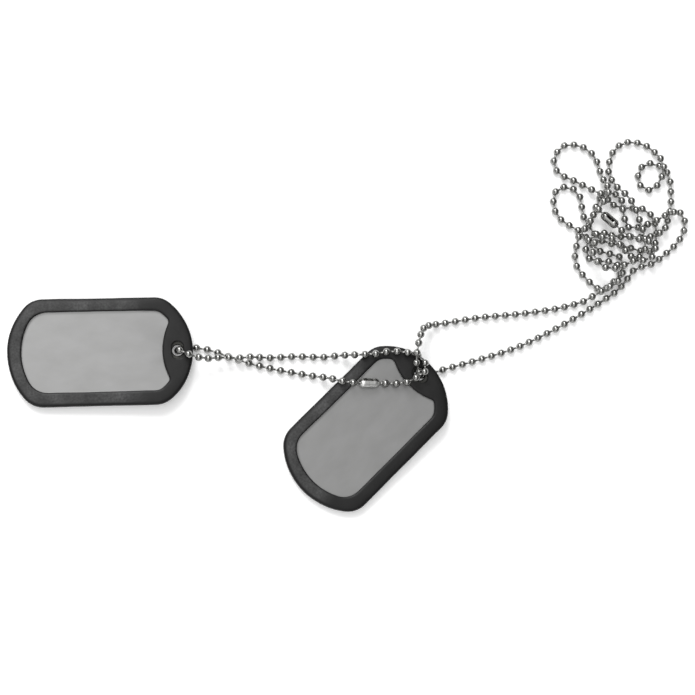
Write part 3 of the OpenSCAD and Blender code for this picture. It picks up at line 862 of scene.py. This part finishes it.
def walk(route, snap):
    """Points along the closed route, from the connector's middle round to it again."""
    points = [in_metres(p) for p in [snap["middle"]] + route + [snap["middle"]]]
    way = np.array(snap["way"]) / np.linalg.norm(snap["way"])
    bends = [way] + [(c - a) / (np.linalg.norm(c - b) + np.linalg.norm(b - a))
                     for a, b, c in zip(points, points[1:], points[2:])] + [way]
    path = []
    for a, b, start, end in zip(points, points[1:], bends, bends[1:]):
        length = np.linalg.norm(b - a)
        for s in np.linspace(0, 1, STEPS_BETWEEN, endpoint=False):
            path.append((2 * s**3 - 3 * s**2 + 1) * a + (s**3 - 2 * s**2 + s) * length * start
                        + (3 * s**2 - 2 * s**3) * b + (s**3 - s**2) * length * end)
    return np.array(path + [points[-1]])


def ball_places(route, snap, pitch):
    """Middles of the balls along the route, as rows of x, y and z."""
    path = walk(route, snap)
    along = np.concatenate([[0], np.cumsum(np.linalg.norm(np.diff(path, axis=0), axis=1))])
    gaps = round((along[-1] - 2 * END_BALL) / pitch)
    at = np.linspace(END_BALL, along[-1] - END_BALL, gaps + 1)
    spacing = round((at[1] - at[0]) / MM, 3)
    print("loop of", round(along[-1] / MM), "mm with", gaps + 1, "balls,", spacing, "mm apart")
    return np.column_stack([np.interp(at, along, path[:, k]) for k in range(3)])


# %% [markdown]
# ## Hollow balls and pins
#
# Each ball is pressed from plated strip that closes round the necks of two pins, so it is a thin hollow shell
# with a hole at each end and a fine seam down one side. Each pin is a wire with a head at both ends, caught
# inside two neighbouring balls. Both are turned shapes: a profile carried round an axis. One ball is made as
# arrays of points and faces and copied to every place on the route as one joined mesh, with the seam turned
# at random.

# %% Turned shapes
BALL_RADIUS = BALL / 2
SHELL = 0.15 * MM
PIN_RADIUS = 0.3 * MM
BALL_HOLE = PIN_RADIUS + PLAY
SHORT_PITCH = 3.25 * MM
LONG_PITCH = 3.16 * MM
SEAM_DEPTH = 0.04 * MM
SEAM_HALF = math.radians(4)
BALL_COLUMNS = 14
OUTSIDE_ROWS, INSIDE_ROWS = 11, 6
PIN_SIDES = 8
# Each pair, in mm: distance from the ball's middle along the pin, and radius, from the head to the bare wire
PIN_END = [(0.60, 0.36), (0.66, 0.44), (0.80, 0.42), (0.90, PIN_RADIUS / MM)]


def ball_profile():
    """(along the axis, out from it) round the shell's closed section."""
    section = []
    for radius, steps, flip in ((BALL_RADIUS, OUTSIDE_ROWS, 1), (BALL_RADIUS - SHELL, INSIDE_ROWS, -1)):
        start = math.asin(BALL_HOLE / radius)
        for turn in np.linspace(start, math.pi - start, steps)[::flip]:
            section.append((-radius * math.cos(turn), radius * math.sin(turn)))
    return section


def ball_shape():
    """One ball along X: its points, its quads, with a seam pressed into the shell."""
    plain = np.linspace(SEAM_HALF, 2 * math.pi - SEAM_HALF, BALL_COLUMNS, endpoint=False)
    turns = [-SEAM_HALF, 0] + list(plain)
    section = ball_profile()
    points = []
    for x, out in section:
        for turn in turns:
            depth = SEAM_DEPTH if turn == 0 and math.hypot(x, out) > BALL_RADIUS - SHELL / 2 else 0
            points.append((x, (out - depth) * math.cos(turn), (out - depth) * math.sin(turn)))
    rows, columns = len(section), len(turns)
    faces = [(r * columns + c, r * columns + (c + 1) % columns, (r + 1) % rows * columns + (c + 1) % columns,
              (r + 1) % rows * columns + c) for r in range(rows) for c in range(columns)]
    return np.array(points), np.array(faces)


def pin_shape(length):
    """One pin along X, between the middles of two balls that are length apart, with flat ends."""
    sides = PIN_SIDES
    left = [(along * MM - length / 2, out * MM) for along, out in PIN_END]
    section = left + [(-x, out) for x, out in reversed(left)]
    turns = np.linspace(0, 2 * math.pi, sides, endpoint=False)
    points = [(x, out * math.cos(t), out * math.sin(t)) for x, out in section for t in turns]
    faces = [(r * sides + c, r * sides + (c + 1) % sides,
              (r + 1) * sides + (c + 1) % sides, (r + 1) * sides + c)
             for r in range(len(section) - 1) for c in range(sides)]
    last = (len(section) - 1) * sides
    caps = [tuple(range(sides)), tuple(last + k for k in reversed(range(sides)))]
    return np.array(points), faces + caps


print("one ball has", len(ball_shape()[1]), "faces, one pin", len(pin_shape(LONG_PITCH)[1]))

# %% [markdown]
# Copying the arrays and joining them once is much quicker than joining objects, and it gives one clean mesh
# for a chain's balls and one for its pins. Each copy is turned to the route by a rotation matrix.

# %% Copies along a route
CHAIN_SHARP = 50


def turn_to(way, spin):
    """Rotation that takes X to the way, after a spin about X."""
    return np.array(Vector(way).to_track_quat("X", "Z").to_matrix() @ Matrix.Rotation(spin, 3, "X"))


def joined(name, copies, material):
    """One mesh from many (points, faces) lists."""
    points, faces, start = [], [], 0
    for some_points, some_faces in copies:
        points.append(some_points)
        faces += [[int(i) + start for i in face] for face in some_faces]
        start += len(some_points)
    loose = bpy.data.meshes.new("loose_copies")
    loose.from_pydata(np.vstack(points).tolist(), [], faces)
    solid = Solid()
    solid.mesh.from_mesh(loose)
    bpy.data.meshes.remove(loose)
    return solid.to_object(name, material, CHAIN_SHARP)


# %% [markdown]
# The chain is bright nickel plate over steel. Fresh plate mirrors sharply; handling leaves fine dull spots,
# and the thin shells are never quite round, so each ball's mirror image is a little bent. The same function
# gives three finishes: the polished balls and the long chain's connector, the short chain's connector, the
# same nickel more matt and with painted light in a much paler tone, and the drawn wire of the pins.

# %% Bright nickel plate
HANDLING = 1.6 * MM
DENT = 0.9 * MM
DULLER_SPOTS = 0.12


def bright_nickel_plate(name, dull, tone):
    material, tree = new_material(name)
    place = add(tree, "ShaderNodeTexCoord").outputs["Object"]
    handling = add(tree, "ShaderNodeTexNoise",
                   sockets={"Vector": place, "Scale": per(HANDLING), "Detail": 4.0})
    dent = add(tree, "ShaderNodeTexNoise", sockets={"Vector": place, "Scale": per(DENT), "Detail": 1.0})
    colour = add(tree, "ShaderNodeMix", COLOUR_MIX,
                 {"Factor": handling, "A": linear(tone[0]), "B": linear(tone[1])})
    roughness = add(tree, "ShaderNodeMapRange", sockets={
        "Value": handling, "From Min": 0.35, "From Max": 0.75, "To Min": dull, "To Max": dull + DULLER_SPOTS})
    bump = add(tree, "ShaderNodeBump", sockets={"Height": dent, "Distance": 0.02 * MM, "Strength": 1.0})
    return finish_material(material, add(tree, "ShaderNodeBsdfPrincipled", sockets={
        "Base Color": colour, "Metallic": 1.0, "Roughness": roughness, "Normal": bump}))


nickel = bright_nickel_plate("bright_nickel_plate", 0.08, ("#8E8E8C", "#9A9A98"))
# Painted light: the short connector's sheet is the same nickel, given a much paler tone so that it reads lit.
painted_lit_sheet = bright_nickel_plate("nickel_sheet_painted_lit", 0.26, ("#E2E2E0", "#EAEAE8"))
wire = bright_nickel_plate("drawn_nickel_wire", 0.22, ("#868684", "#969694"))

# %% [markdown]
# A chain is its balls in one mesh and its pins in another, since they have different finishes. The balls
# stand for the construction model's balls or tubes; the pins of the long chain stand for nothing, because its
# tubes are already spoken for.


# %% Chains
def make_chain(name, route, snap, pitch, ball_nodes, pin_nodes, seed):
    places = ball_places(route, snap, pitch)
    way = np.array(snap["way"]) / np.linalg.norm(snap["way"])
    ways = np.vstack([way, places[2:] - places[:-2], way])
    spins = random.Random(seed)
    points, faces = ball_shape()
    balls = [(points @ turn_to(along, spins.uniform(0, 2 * math.pi)).T + middle, faces)
             for along, middle in zip(ways, places)]
    dress(joined(name + "_hollow_balls", balls, nickel), "chain_metal", *ball_nodes)
    pins = []
    for start, end in zip(places, places[1:]):
        pin_points, pin_faces = pin_shape(np.linalg.norm(end - start))
        pins.append((pin_points @ turn_to(end - start, 0).T + (start + end) / 2, pin_faces))
    dress(joined(name + "_pins", pins, wire), "chain_metal", *pin_nodes)


make_chain("short_chain", SHORT_ROUTE, SHORT_SNAP, SHORT_PITCH,
           ["short_chain_balls"], ["short_chain_wire"], 3)
make_chain("long_chain", LONG_ROUTE, LONG_SNAP, LONG_PITCH,
           ["long_chain_run", "long_chain_pile"], [], 4)

# %% [markdown]
# ## Snap connectors
#
# A connector is a sleeve of thin plated sheet with round ends. The chain's end ball is pushed in through the
# slot and slides to the end, where the pin comes out through a hole that the ball can't pass. The thin wall
# is made as two skins, the outside and the inside, closed along the slot and round both holes.

# %% Sleeve
SLOT_HALF = 0.4 * MM
END_HOLE = 0.5 * MM
SLEEVE_COLUMNS = 28
CAP_ROWS = 8
BODY_ROWS = 6


def sleeve_section(radius):
    """(along, out) from one end hole to the other, of a skin with that radius and round ends."""
    start = math.asin(END_HOLE / radius)
    turns = np.linspace(start, math.pi / 2, CAP_ROWS)
    cap = [(-END_BALL - radius * math.cos(t), radius * math.sin(t)) for t in turns]
    body = [(x, radius) for x in np.linspace(-END_BALL, END_BALL, BODY_ROWS + 2)[1:-1]]
    return cap + body + [(-x, out) for x, out in reversed(cap)]


def sleeve_skin(solid, radius):
    """Rows of vertices of one skin, each from one side of the slot round to the other; the slot faces +Z."""
    rows = []
    for x, out in sleeve_section(radius):
        edge = math.asin(min(1, SLOT_HALF / out))
        turns = np.linspace(edge, 2 * math.pi - edge, SLEEVE_COLUMNS)
        rows.append([solid.mesh.verts.new((x, out * math.sin(t), out * math.cos(t))) for t in turns])
    return rows


def make_snap(name, snap, node, metal):
    solid = Solid()
    outer, inner = sleeve_skin(solid, SNAP_RADIUS), sleeve_skin(solid, SNAP_RADIUS - SNAP_SHEET)
    strips = list(zip(outer, outer[1:])) + list(zip(inner, inner[1:]))
    strips += [(outer[end], inner[end]) for end in (0, -1)]
    strips += [([row[side] for row in outer], [row[side] for row in inner]) for side in (0, -1)]
    for first, second in strips:
        for k in range(len(first) - 1):
            solid.mesh.faces.new((first[k], first[k + 1], second[k + 1], second[k]))
    piece = solid.to_object(name, metal, CHAIN_SHARP)
    way = Vector(snap["way"]).normalized()
    piece.matrix_world = (Matrix.Translation(Vector(in_metres(snap["middle"])))
                          @ way.to_track_quat("X", "Z").to_matrix().to_4x4()
                          @ Matrix.Rotation(math.radians(snap["turn"]), 4, "X"))
    dress(piece, "chain_metal", node)


print("sleeve:", round(SNAP_LENGTH / MM, 1), "mm long,", round(2 * SNAP_RADIUS / MM, 1), "mm across")
make_snap("short_chain_snap", SHORT_SNAP, "short_chain_connector", painted_lit_sheet)
make_snap("long_chain_snap", LONG_SNAP, "long_chain_connector", nickel)
